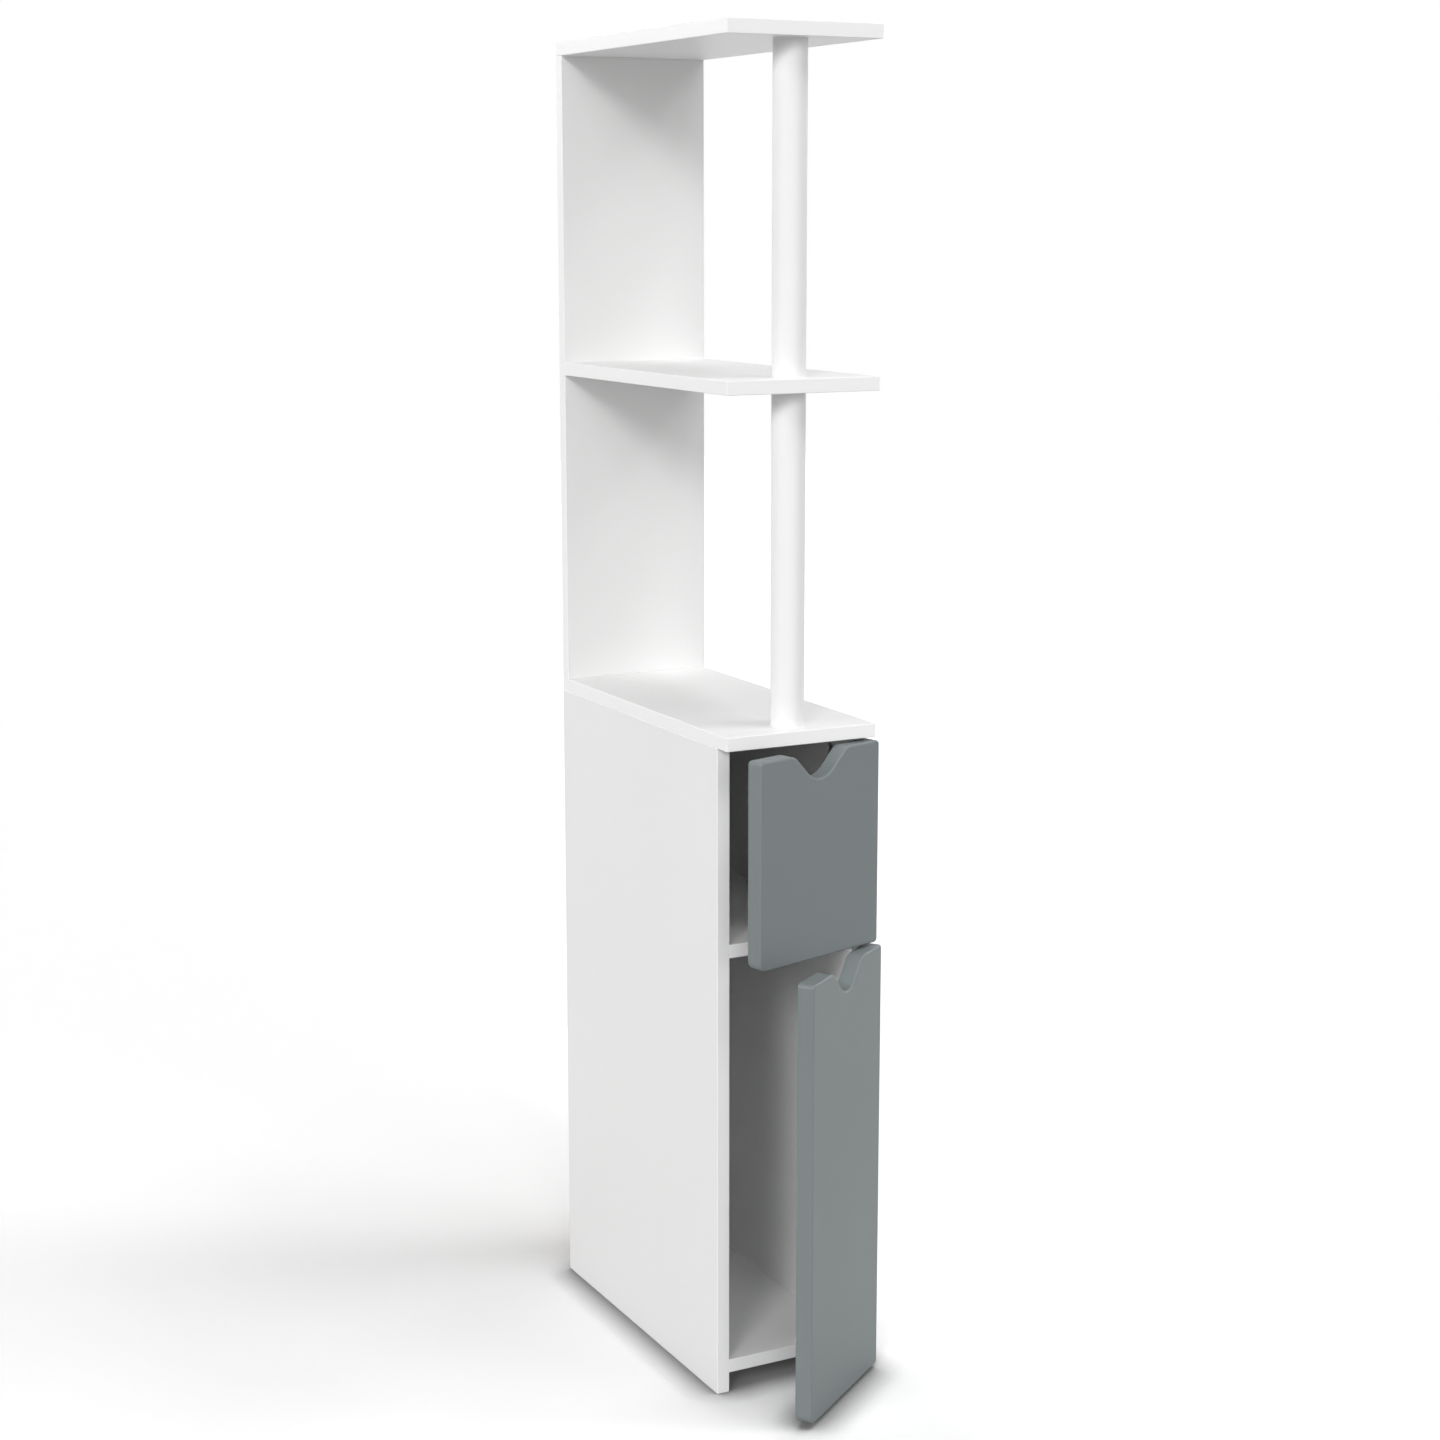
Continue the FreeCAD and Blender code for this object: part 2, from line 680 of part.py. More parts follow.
small_head, small_side = "small_screw_head / 2", "small_screw / 2"
small_shank_end = "small_screw_length - small_screw_tip"
small_screw_profile = [
    ("0", "0"), (small_head, "0"), (small_side, "plate_thickness"),
    (small_side, small_shank_end), ("0", "small_screw_length"),
]
small_screw = make_pattern("small_screw_pattern", small_screw_profile)

frame_screw_x, frame_screw_y = f"{hinge_x} - {leaf_screw_x}", f"{hinge_y} + {frame_exposed}"
frame_screw_spots = []
for name, door in doors.items():
    make_door(name, door)
    for end, foot in zip(("lower", "upper"), hinge_feet(door)):
        make_hinge(f"{name}_door_{end}_hinge", door, foot)
    door_screw_spots = []
    for level in hinge_screw_levels(door):
        frame_screw_spots.append((frame_screw_x, frame_screw_y, level, aim(Y, X)))
        door_screw_spots.append((f"-{leaf_screw_x}", door_exposed, level, aim(-Y, X)))
    door_screws = group(f"{name}_door_hinge_screws", small_screw, door_screw_spots)
    place(door_screws, hinge_x, hinge_y, "0", turn=door["turn"])
group("frame_hinge_screws", small_screw, frame_screw_spots)

frame_screw_column = f"(board + hinge_offset - {leaf_screw_x})"
frame_screw_levels = hinge_screw_levels(doors["upper"]) + hinge_screw_levels(doors["lower"])
frame_screw_holes = [(frame_screw_column, level) for level in frame_screw_levels]
right_side.drill("front", frame_screw_holes, "small_screw", screw_hole_depth)

# Magnetic catches: a housing with a magnet on the board, a steel strike plate on the door
catch_screw_profile = [
    ("0", "-catch_screw_head_height"), (small_head, "-catch_screw_head_height"), (small_head, "0"),
    (small_side, "0"), (small_side, small_shank_end), ("0", "small_screw_length"),
]
catch_screw = make_pattern("catch_screw_pattern", catch_screw_profile)
catch_screw_spots = []


def make_catch(name, door):
    base = door["catch"]
    housing = new_body(f"{name}_catch_housing")
    place(housing, "catch_position", catch_front, base)
    foot = new_sketch(housing, "XY_Plane")
    draw_rectangle(foot, "-catch_length / 2", "0", "catch_length / 2", "catch_depth")
    pad(housing, foot, "catch_flange")
    block = new_sketch(housing, "XY_Plane")
    draw_rectangle(block, "-catch_block / 2", "0", "catch_block / 2", "catch_depth")
    pad(housing, block, "catch_height")
    low, high = f"{magnet_centre} - magnet_height / 2", f"{magnet_centre} + magnet_height / 2"
    mouth = new_sketch(housing, "XZ_Plane")
    draw_rectangle(mouth, "-magnet_length / 2", low, "magnet_length / 2", high)
    pocket(housing, mouth, "magnet_depth", False)
    holes = new_sketch(housing, "XY_Plane")
    ears = [(f"{sign}catch_screw_pitch / 2", "catch_depth / 2") for sign in ("-", "")]
    draw_circles(holes, ears, "small_screw")
    pocket(housing, holes, "catch_flange", True)

    magnet = new_body(f"{name}_catch_magnet")
    place(magnet, "catch_position", catch_front, base)
    section = new_sketch(magnet, "XZ_Plane", "-magnet_depth")
    draw_rectangle(section, "-magnet_length / 2", low, "magnet_length / 2", high)
    pad(magnet, section, "magnet_depth")

    for sign in ("-", "+"):
        ear_x = f"catch_position {sign} catch_screw_pitch / 2"
        ear_y = f"{catch_front} + catch_depth / 2"
        catch_screw_spots.append((ear_x, ear_y, f"{base} + catch_flange", aim(-Z, X)))

    strike_x, strike_z = f"(catch_position - {hinge_x})", f"({base} + {magnet_centre})"
    strike = new_body(f"{name}_strike_plate")
    place(strike, hinge_x, hinge_y, "0", turn=door["turn"])
    plate = new_sketch(strike, "XZ_Plane", "door_gap / 2 - plate_thickness")
    draw_rectangle(
        plate, f"{strike_x} - strike_length / 2", f"{strike_z} - strike_height / 2",
        f"{strike_x} + strike_length / 2", f"{strike_z} + strike_height / 2",
    )
    pad(strike, plate, "plate_thickness")
    sink_screw(strike, strike_x, door_exposed, strike_z, -Y)
    strike_spot = (strike_x, door_exposed, strike_z, aim(-Y, X))
    strike_screw = group(f"{name}_strike_screw", small_screw, [strike_spot])
    place(strike_screw, hinge_x, hinge_y, "0", turn=door["turn"])


for name, door in doors.items():
    make_catch(name, door)
group("catch_screws", catch_screw, catch_screw_spots)

catch_hole_row = f"{panel_depth} + {catch_front} + catch_depth / 2"
for board in (bottom_board, divider_board):
    columns = [f"{inner_width} / 2 + catch_position {sign} catch_screw_pitch / 2" for sign in ("-", "+")]
    board.drill(
        "top", [(column, catch_hole_row) for column in columns],
        "small_screw", "small_screw_length - catch_flange + drill_relief",
    )

doc.recompute()
for item in doc.Objects:
    if "Invalid" in item.State or "Error" in item.State:
        raise RuntimeError(f"{item.Name} failed: {item.State}")
for node in nodes:
    if node.Shape.isNull() or not node.Shape.isValid():
        raise RuntimeError(f"{node.Label} has no valid shape")

os.makedirs("parts", exist_ok=True)
for node in nodes:
    node.Shape.exportStep(f"parts/{node.Label}.step")
    print(f"{node.Label}: {len(node.Shape.Solids)} solids, {node.Shape.Volume:.0f} mm3")
print(len(nodes), "nodes")
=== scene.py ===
import bpy
import json
import math
from mathutils import Matrix, Vector


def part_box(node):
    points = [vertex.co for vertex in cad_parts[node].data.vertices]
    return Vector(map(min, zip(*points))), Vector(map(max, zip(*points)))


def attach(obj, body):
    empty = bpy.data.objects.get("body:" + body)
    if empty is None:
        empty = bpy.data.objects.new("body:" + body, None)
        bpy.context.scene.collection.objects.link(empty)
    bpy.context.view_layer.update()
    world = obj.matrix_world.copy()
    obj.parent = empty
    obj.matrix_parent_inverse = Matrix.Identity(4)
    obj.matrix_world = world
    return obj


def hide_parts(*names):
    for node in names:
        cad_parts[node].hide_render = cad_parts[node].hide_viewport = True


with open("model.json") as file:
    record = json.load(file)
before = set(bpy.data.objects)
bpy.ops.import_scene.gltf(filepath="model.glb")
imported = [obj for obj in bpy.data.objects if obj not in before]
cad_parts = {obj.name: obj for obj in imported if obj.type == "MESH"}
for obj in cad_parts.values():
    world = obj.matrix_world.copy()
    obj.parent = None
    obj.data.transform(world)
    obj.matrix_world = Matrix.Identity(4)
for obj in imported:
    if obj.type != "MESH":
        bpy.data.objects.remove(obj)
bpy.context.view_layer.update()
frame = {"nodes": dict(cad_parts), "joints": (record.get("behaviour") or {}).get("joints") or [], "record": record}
nodes = frame["nodes"]
scene = bpy.context.scene
mm = 0.001
xWay, yWay, zWay = Vector((1, 0, 0)), Vector((0, 1, 0)), Vector((0, 0, 1))
print("cabinet loaded,", len(nodes), "CAD pieces")

# Camera, floor and light

cameraView = {
    "place": (-1.0539, -2.2065, 1.0202),
    "pitch": 79.061,                # degrees up from looking straight down
    "turn": -27.518,                # degrees about the vertical
    "lens": 64.4,
    "sensor": 36.0,
}
studio = {
    "floorSize": 16.0,
    "floorDrop": 0.0004,            # keeps the floor just under the feet
    "floorColour": (0.50, 0.50, 0.50),      # for light that spreads
    "floorSeen": (0.99, 0.99, 0.99),        # for the camera and reflections
    "floorLift": 0.09,              # white added for the camera and reflections
    # painted contact shade on the floor, from ambient occlusion near what stands on it:
    "contactReach": 0.035,          # metres over which the floor darkens towards what stands on it
    "contactSamples": 8,
    "contactFrom": 0.5,             # share of open sky at which the contact shade is darkest
    "contactDark": 0.25,
    # painted light: the floor's glow grows right of the cabinet and washes out the cabinet's shadow there
    "rightWashLift": 0.24,              # more white right of the cabinet, where the photo's floor is bare
    "rightWashFrom": 0.06,
    "rightWashTo": 0.22,
    "skyColour": (1.0, 1.0, 1.0, 1),
    "skyLight": 0.04,
}
lamps = {                           # far soft boxes: degrees right of the front, degrees up, width seen
    "frontBox": {"turn": 10, "rise": 12, "width": 25, "strength": 0.40},
    "frontLeftBox": {"turn": -20, "rise": 20, "width": 20, "strength": 0.44},
    "frontTopBox": {"turn": -25, "rise": 40, "width": 20, "strength": 0.20},
    "leftFrontBox": {"turn": -45, "rise": 28, "width": 16, "strength": 1.04},
    "leftBox": {"turn": -80, "rise": 15, "width": 20, "strength": 0.98},
    "rightBox": {"turn": 62, "rise": 47, "width": 14, "strength": 0.57},
    "highRightBox": {"turn": 43, "rise": 66, "width": 14, "strength": 0.45},
    "rightSideBox": {"turn": 105, "rise": 15, "width": 25, "strength": 0.55},
    "topBox": {"turn": 12, "rise": 74, "width": 26, "strength": 0.54},
    "backBox": {"turn": -150, "rise": 15, "width": 25, "strength": 0.66},
}


def makeCamera():
    data = bpy.data.cameras.new("productCamera")
    data.lens = cameraView["lens"]
    data.sensor_width = cameraView["sensor"]
    data.sensor_fit = "HORIZONTAL"
    camera = bpy.data.objects.new("productCamera", data)
    camera.location = cameraView["place"]
    camera.rotation_euler = (math.radians(cameraView["pitch"]), 0, math.radians(cameraView["turn"]))
    scene.collection.objects.link(camera)
    scene.camera = camera


def makeLamps():
    for name, lamp in lamps.items():
        data = bpy.data.lights.new(name, "SUN")
        data.angle = math.radians(lamp["width"])
        data.energy = lamp["strength"]
        light = bpy.data.objects.new(name, data)
        light.rotation_euler = (math.radians(90 - lamp["rise"]), 0, math.radians(lamp["turn"]))
        scene.collection.objects.link(light)


def put(tree, kind, values=None, **settings):
    # one node: settings are its own properties, values go to its sockets by name or number
    node = tree.nodes.new(kind)
    for key, setting in settings.items():
        setattr(node, key, setting)
    for key, entry in (values or {}).items():
        if isinstance(entry, bpy.types.NodeSocket):
            tree.links.new(entry, node.inputs[key])
        else:
            node.inputs[key].default_value = entry
    return node


def seenDirectly(tree):
    # 1 for the camera, mirrors and glass, 0 for light that spreads
    path = put(tree, "ShaderNodeLightPath")
    seen = path.outputs["Is Camera Ray"]
    for ray in ("Is Glossy Ray", "Is Transmission Ray"):
        seen = put(tree, "ShaderNodeMath", {0: seen, 1: path.outputs[ray]}, operation="MAXIMUM").outputs[0]
    return seen


def makeSky():
    world = bpy.data.worlds.new("studioSky")
    scene.world = world
    world.use_nodes = True
    tree = world.node_tree
    tree.nodes.clear()
    strength = put(tree, "ShaderNodeMapRange", {0: seenDirectly(tree), 3: studio["skyLight"], 4: 1.0})
    sky = put(tree, "ShaderNodeBackground", {"Color": studio["skyColour"], "Strength": strength.outputs[0]})
    put(tree, "ShaderNodeOutputWorld", {"Surface": sky.outputs[0]})


def makeFloor():
    drop = studio["floorDrop"]
    floor = newPrimitive("plane", "studioFloor", size=studio["floorSize"], location=(0, 0, -drop))
    material = bpy.data.materials.new("paleFloor")
    material.use_nodes = True
    tree = material.node_tree
    tree.nodes.clear()
    seen = seenDirectly(tree)
    # painted contact shade: ambient occlusion darkens the floor's seen colour and its glow near what stands on it
    crevice = put(tree, "ShaderNodeAmbientOcclusion", {"Distance": studio["contactReach"]},
                  samples=studio["contactSamples"])
    contact = spread(tree, crevice.outputs["AO"], studio["contactDark"], 1.0, studio["contactFrom"], 1.0)
    lit = blendColours(tree, contact, (0.0, 0.0, 0.0), studio["floorSeen"])
    shade = blendColours(tree, seen, studio["floorColour"], lit)
    matt = put(tree, "ShaderNodeBsdfDiffuse", {"Color": shade})
    place = put(tree, "ShaderNodeSeparateXYZ", {0: put(tree, "ShaderNodeTexCoord").outputs["Object"]})
    # painted light: the glow grows right of the cabinet and washes out its shadow there, and the painted contact
    # shade dims it near the cabinet
    clear = put(tree, "ShaderNodeMapRange",
                {0: place.outputs[0], 1: studio["rightWashFrom"], 2: studio["rightWashTo"], 3: studio["floorLift"],
                 4: studio["floorLift"] + studio["rightWashLift"]}, interpolation_type="SMOOTHSTEP")
    glowWashAndShade = put(tree, "ShaderNodeMath", {0: contact, 1: clear.outputs[0]}, operation="MULTIPLY")
    lift = put(tree, "ShaderNodeMath", {0: seen, 1: glowWashAndShade.outputs[0]}, operation="MULTIPLY")
    glow = put(tree, "ShaderNodeEmission", {"Color": studio["skyColour"], "Strength": lift.outputs[0]})
    both = put(tree, "ShaderNodeAddShader", {0: matt.outputs[0], 1: glow.outputs[0]})
    put(tree, "ShaderNodeOutputMaterial", {"Surface": both.outputs[0]})
    floor.data.materials.append(material)


# Modelling by hand: what is picked is what the next operator works on

def deselectAll():
    if bpy.context.object and bpy.context.object.mode != "OBJECT":
        bpy.ops.object.mode_set(mode="OBJECT")
    bpy.ops.object.select_all(action="DESELECT")


def pickOnly(piece):
    deselectAll()
    piece.select_set(True)
    bpy.context.view_layer.objects.active = piece


def newPrimitive(kind, name, **settings):
    deselectAll()
    getattr(bpy.ops.mesh, "primitive_" + kind + "_add")(**settings)
    piece = bpy.context.object
    rename(piece, name)
    return piece


def pickFaces(piece, wanted):
    bpy.ops.object.mode_set(mode="EDIT")
    bpy.ops.mesh.select_mode(type="FACE")
    bpy.ops.mesh.select_all(action="DESELECT")
    bpy.ops.object.mode_set(mode="OBJECT")
    for face in piece.data.polygons:
        face.select = wanted(face)
    bpy.ops.object.mode_set(mode="EDIT")


def pickEdges(piece, wanted):
    bpy.ops.object.mode_set(mode="EDIT")
    bpy.ops.mesh.select_mode(type="EDGE")
    bpy.ops.mesh.select_all(action="DESELECT")
    bpy.ops.object.mode_set(mode="OBJECT")
    corners = piece.data.vertices
    for edge in piece.data.edges:
        edge.select = wanted(*(corners[index].co for index in edge.vertices))
    bpy.ops.object.mode_set(mode="EDIT")


def doneEditing():
    bpy.ops.object.mode_set(mode="OBJECT")


def faces(way):
    # picks the faces that look nearly that way
    return lambda face: face.normal.dot(way) > 0.9


def growDown(depth, scale):
    # the picked end face moves down by depth and its ring is scaled
    bpy.ops.mesh.extrude_region_move(TRANSFORM_OT_translate={"value": (0, 0, -depth)})
    bpy.ops.transform.resize(value=(scale, scale, 1), center_override=(0, 0, 0))


def settle():
    # the active piece's place, turn and scale go into its mesh
    bpy.ops.object.transform_apply(location=True, rotation=True, scale=True)


def combine(piece, other, operation):
    pickOnly(piece)
    change = piece.modifiers.new("combine", "BOOLEAN")
    change.operation = operation
    change.solver = "EXACT"
    change.use_self = True
    change.object = other
    bpy.ops.object.modifier_apply(modifier=change.name)
    bpy.data.objects.remove(other)


def cutOut(piece, cutter):
    combine(piece, cutter, "DIFFERENCE")


def smoothByAngle(piece, degrees=35):
    # the many-sided faces that cuts leave become even triangles, then round faces are shaded smooth
    pickOnly(piece)
    bpy.ops.object.mode_set(mode="EDIT")
    bpy.ops.mesh.select_all(action="SELECT")
    bpy.ops.mesh.quads_convert_to_tris(quad_method="BEAUTY", ngon_method="BEAUTY")
    doneEditing()
    bpy.ops.object.shade_smooth_by_angle(angle=math.radians(degrees))


def copyOf(pattern):
    copy = pattern.copy()
    copy.data = pattern.data.copy()
    scene.collection.objects.link(copy)
    return copy


def rename(piece, name):
    piece.name = name
    piece.data.name = name


def setDown(pattern, name, spots):
    # copies of the pattern, its +Z turned to each spot's facing, joined into one piece
    copies = []
    for place, facing in spots:
        copy = copyOf(pattern)
        turn = Vector(facing).to_track_quat("Z", "Y").to_matrix().to_4x4()
        copy.matrix_world = Matrix.Translation(place) @ turn
        copies.append(copy)
    deselectAll()
    for copy in copies:
        copy.select_set(True)
    bpy.context.view_layer.objects.active = copies[0]
    settle()
    if len(copies) > 1:
        bpy.ops.object.join()
    piece = bpy.context.object
    rename(piece, name)
    return piece


def fit(piece, body, slot, material, *stoodFor):
    piece.data.materials.clear()
    piece.data.materials.append(material)
    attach(piece, body)
    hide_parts(*stoodFor)


# Effects that several finishes share

def newGroup(name, inputs, outputs):
    tree = bpy.data.node_groups.new(name, "ShaderNodeTree")
    for label, (kind, start) in inputs.items():
        socket = tree.interface.new_socket(name=label, in_out="INPUT", socket_type="NodeSocket" + kind)
        socket.default_value = start
    for label in outputs:
        tree.interface.new_socket(name=label, in_out="OUTPUT", socket_type="NodeSocketFloat")
    return tree, tree.nodes.new("NodeGroupInput").outputs, tree.nodes.new("NodeGroupOutput").inputs


def makeGrainGroup():
    # fine pebble of a pressed or sprayed surface, with a slow drift of tone over the board
    tree, given, result = newGroup(
        "fineGrain",
        {"Place": ("Vector", (0, 0, 0)), "Grain": ("Float", 900.0), "Drift": ("Float", 5.0)},
        ("Height", "Tone"),
    )
    pebble = put(tree, "ShaderNodeTexNoise",
                 {"Vector": given["Place"], "Scale": given["Grain"], "Detail": 2.0, "Roughness": 0.55})
    ripple = put(tree, "ShaderNodeTexNoise",
                 {"Vector": given["Place"], "Scale": given["Drift"], "Detail": 3.0, "Roughness": 0.5})
    tree.links.new(pebble.outputs[0], result["Height"])
    tree.links.new(ripple.outputs[0], result["Tone"])
    return tree


def makeStripGroup():
    # edge strip of a board: how far a point is from the board's rim, measured in its own plane
    tree, given, result = newGroup(
        "edgeStrip",
        {
            "Place": ("Vector", (0, 0, 0)), "Low": ("Vector", (0, 0, 0)), "High": ("Vector", (1, 1, 1)),
            "Across": ("Vector", (0, 0, 1)), "Width": ("Float", 0.0009), "Line": ("Float", 0.00012),
        },
        ("Strip", "Joint"),
    )
    fromLow = put(tree, "ShaderNodeVectorMath", {0: given["Place"], 1: given["Low"]}, operation="SUBTRACT")
    fromHigh = put(tree, "ShaderNodeVectorMath", {0: given["High"], 1: given["Place"]},
                   operation="SUBTRACT")
    nearest = put(tree, "ShaderNodeVectorMath", {0: fromLow.outputs[0], 1: fromHigh.outputs[0]},
                  operation="MINIMUM")
    inPlane = put(tree, "ShaderNodeVectorMath", {0: nearest.outputs[0], 1: given["Across"]},
                  operation="ADD")
    parts = put(tree, "ShaderNodeSeparateXYZ", {0: inPlane.outputs[0]})
    firstTwo = put(tree, "ShaderNodeMath", {0: parts.outputs[0], 1: parts.outputs[1]}, operation="MINIMUM")
    rim = put(tree, "ShaderNodeMath", {0: firstTwo.outputs[0], 1: parts.outputs[2]}, operation="MINIMUM")
    strip = put(tree, "ShaderNodeMath", {0: rim.outputs[0], 1: given["Width"]}, operation="LESS_THAN")
    joint = put(tree, "ShaderNodeMath", {0: rim.outputs[0], 1: given["Width"], 2: given["Line"]},
                operation="COMPARE")
    tree.links.new(strip.outputs[0], result["Strip"])
    tree.links.new(joint.outputs[0], result["Joint"])
    return tree


def makeStreakGroup():
    # drawn and plated metal: long streaks one way, cloudy tone all over
    tree, given, result = newGroup(
        "platedStreaks",
        {"Place": ("Vector", (0, 0, 0)), "Streak": ("Float", 900.0), "Cloud": ("Float", 220.0)},
        ("Height", "Tone", "Cloud"),
    )
    stretch = put(tree, "ShaderNodeMapping", {"Vector": given["Place"], "Scale": (1.0, 1.0, 0.05)})
    streak = put(tree, "ShaderNodeTexNoise",
                 {"Vector": stretch.outputs[0], "Scale": given["Streak"], "Detail": 3.0, "Roughness": 0.6})
    cloud = put(tree, "ShaderNodeTexNoise",
                {"Vector": given["Place"], "Scale": given["Cloud"], "Detail": 3.0, "Roughness": 0.55})
    tree.links.new(streak.outputs[0], result["Height"])
    tree.links.new(streak.outputs[0], result["Tone"])
    tree.links.new(cloud.outputs[0], result["Cloud"])
    return tree


grainGroup = makeGrainGroup()
stripGroup = makeStripGroup()
streakGroup = makeStreakGroup()
print("shared effects ready")


# Finishes

def newFinish(name, shine=0.5):
    material = bpy.data.materials.new(name)
    material.use_nodes = True
    tree = material.node_tree
    tree.nodes.clear()
    place = put(tree, "ShaderNodeTexCoord").outputs["Object"]
    surface = put(tree, "ShaderNodeBsdfPrincipled", {"Specular IOR Level": shine})
    put(tree, "ShaderNodeOutputMaterial", {"Surface": surface.outputs[0]})
    return material, tree, place, surface


def useGroup(tree, group, values):
    return put(tree, "ShaderNodeGroup", values, node_tree=group).outputs


def blendColours(tree, mask, first, second):
    mix = put(tree, "ShaderNodeMix", {0: mask}, data_type="RGBA")
    for socket, entry in ((mix.inputs[6], first), (mix.inputs[7], second)):
        if isinstance(entry, bpy.types.NodeSocket):
            tree.links.new(entry, socket)
        else:
            socket.default_value = (*entry, 1)
    return mix.outputs[2]           # the colour sockets are 6, 7 and 2


def spread(tree, source, low, high, fromLow=0.3, fromHigh=0.7):
    # a texture's middle range set out between two values
    return put(tree, "ShaderNodeMapRange",
               {0: source, 1: fromLow, 2: fromHigh, 3: low, 4: high}).outputs[0]


def addBump(tree, surface, height, strength, depth):
    bump = put(tree, "ShaderNodeBump", {"Height": height, "Strength": strength, "Distance": depth})
    tree.links.new(bump.outputs[0], surface.inputs["Normal"])


boardFinish = {
    "face": (0.829, 0.829, 0.826),
    "faceLight": (0.851, 0.851, 0.848),
    "strip": (0.915, 0.915, 0.912),
    "joint": (0.66, 0.65, 0.62),
    "pebble": 1100.0,
    "drift": 4.0,
    "pebbleDepth": 0.00012,
    "pebbleStrength": 0.28,
    "roughness": (0.38, 0.46),
    "stripRoughness": 0.33,
    "shine": 0.3,
    "stripWidth": 0.0010,
    "glueLine": 0.00009,
}


def makeBoardFinish(node):
    low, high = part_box(node)
    span = high - low
    thin = min(range(3), key=lambda axis: span[axis])
    across = [1.0 if axis == thin else 0.0 for axis in range(3)]
    material, tree, place, surface = newFinish("whiteMelamine_" + node, boardFinish["shine"])
    grain = useGroup(tree, grainGroup, {"Place": place, "Grain": boardFinish["pebble"],
                                        "Drift": boardFinish["drift"]})
    rim = useGroup(tree, stripGroup, {"Place": place, "Low": low, "High": high, "Across": across,
                                      "Width": boardFinish["stripWidth"], "Line": boardFinish["glueLine"]})
    tone = spread(tree, grain["Tone"], 0, 1)
    face = blendColours(tree, tone, boardFinish["face"], boardFinish["faceLight"])
    banded = blendColours(tree, rim["Strip"], face, boardFinish["strip"])
    colour = blendColours(tree, rim["Joint"], banded, boardFinish["joint"])
    tree.links.new(colour, surface.inputs["Base Color"])
    faceGloss = spread(tree, grain["Tone"], *boardFinish["roughness"])
    gloss = put(tree, "ShaderNodeMix", {0: rim["Strip"], 2: faceGloss, 3: boardFinish["stripRoughness"]})
    tree.links.new(gloss.outputs[0], surface.inputs["Roughness"])
    pressed = put(tree, "ShaderNodeMath", {0: grain["Height"], 1: rim["Joint"]}, operation="SUBTRACT")
    addBump(tree, surface, pressed.outputs[0], boardFinish["pebbleStrength"], boardFinish["pebbleDepth"])
    return material


doorFinish = {
    "lacquer": (0.174, 0.199, 0.202),
    "lacquerLight": (0.187, 0.212, 0.215),
    "orangePeel": 420.0,
    "drift": 6.0,
    "peelDepth": 0.00018,
    "peelStrength": 0.18,
    "roughness": (0.42, 0.50),
    "shine": 0.35,
}


def makeDoorFinish():
    material, tree, place, surface = newFinish("satinGreyLacquer", doorFinish["shine"])
    grain = useGroup(tree, grainGroup, {"Place": place, "Grain": doorFinish["orangePeel"],
                                        "Drift": doorFinish["drift"]})
    tone = spread(tree, grain["Tone"], 0, 1)
    tree.links.new(blendColours(tree, tone, doorFinish["lacquer"], doorFinish["lacquerLight"]),
                   surface.inputs["Base Color"])
    tree.links.new(spread(tree, grain["Tone"], *doorFinish["roughness"]), surface.inputs["Roughness"])
    addBump(tree, surface, grain["Height"], doorFinish["peelStrength"], doorFinish["peelDepth"])
    return material


poleFinish = {
    "coat": (0.852, 0.852, 0.849),
    "coatLight": (0.868, 0.868, 0.866),
    "orangePeel": 700.0,
    "drift": 9.0,
    "peelDepth": 0.00015,
    "peelStrength": 0.15,
    "roughness": (0.40, 0.48),
    "shine": 0.3,
}


def makePoleFinish():
    material, tree, place, surface = newFinish("whitePowderCoat", poleFinish["shine"])
    grain = useGroup(tree, grainGroup, {"Place": place, "Grain": poleFinish["orangePeel"],
                                        "Drift": poleFinish["drift"]})
    tone = spread(tree, grain["Tone"], 0, 1)
    tree.links.new(blendColours(tree, tone, poleFinish["coat"], poleFinish["coatLight"]),
                   surface.inputs["Base Color"])
    tree.links.new(spread(tree, grain["Tone"], *poleFinish["roughness"]), surface.inputs["Roughness"])
    addBump(tree, surface, grain["Height"], poleFinish["peelStrength"], poleFinish["peelDepth"])
    return material


steelFinish = {
    "zinc": (0.40, 0.42, 0.45),
    "zincLight": (0.57, 0.58, 0.60),
    "zincWarm": (0.52, 0.51, 0.46),
    "warmShare": 0.5,
    "warmFrom": (0.5, 0.75),        # range of the cloud over which the warm tone comes in
    "streak": 1400.0,
    "cloud": 260.0,
    "streakDepth": 0.00006,
    "streakStrength": 0.12,
    "roughness": (0.24, 0.40),
}


def makeSteelFinish():
    material, tree, place, surface = newFinish("brightZincPlate")
    surface.inputs["Metallic"].default_value = 1.0
    plate = useGroup(tree, streakGroup, {"Place": place, "Streak": steelFinish["streak"],
                                         "Cloud": steelFinish["cloud"]})
    tone = spread(tree, plate["Tone"], 0, 1)
    drawn = blendColours(tree, tone, steelFinish["zinc"], steelFinish["zincLight"])
    warm = spread(tree, plate["Cloud"], 0.0, steelFinish["warmShare"], *steelFinish["warmFrom"])
    tree.links.new(blendColours(tree, warm, drawn, steelFinish["zincWarm"]), surface.inputs["Base Color"])
    tree.links.new(spread(tree, plate["Cloud"], *steelFinish["roughness"]), surface.inputs["Roughness"])
    addBump(tree, surface, plate["Height"], steelFinish["streakStrength"], steelFinish["streakDepth"])
    return material


mouldedFinishes = {
    "black_plastic": {
        "dark": (0.020, 0.020, 0.021),
        "light": (0.032, 0.032, 0.033),
        "roughness": (0.45, 0.58),
    },
    "white_plastic": {
        "dark": (0.800, 0.800, 0.785),
        "light": (0.850, 0.850, 0.838),
        "roughness": (0.36, 0.46),
    },
    "magnet": {
        "dark": (0.045, 0.045, 0.047),
        "light": (0.090, 0.088, 0.086),
        "roughness": (0.55, 0.75),
    },
}
mouldedGrain = {"spark": 1800.0, "drift": 60.0, "sparkDepth": 0.0001, "sparkStrength": 0.2}


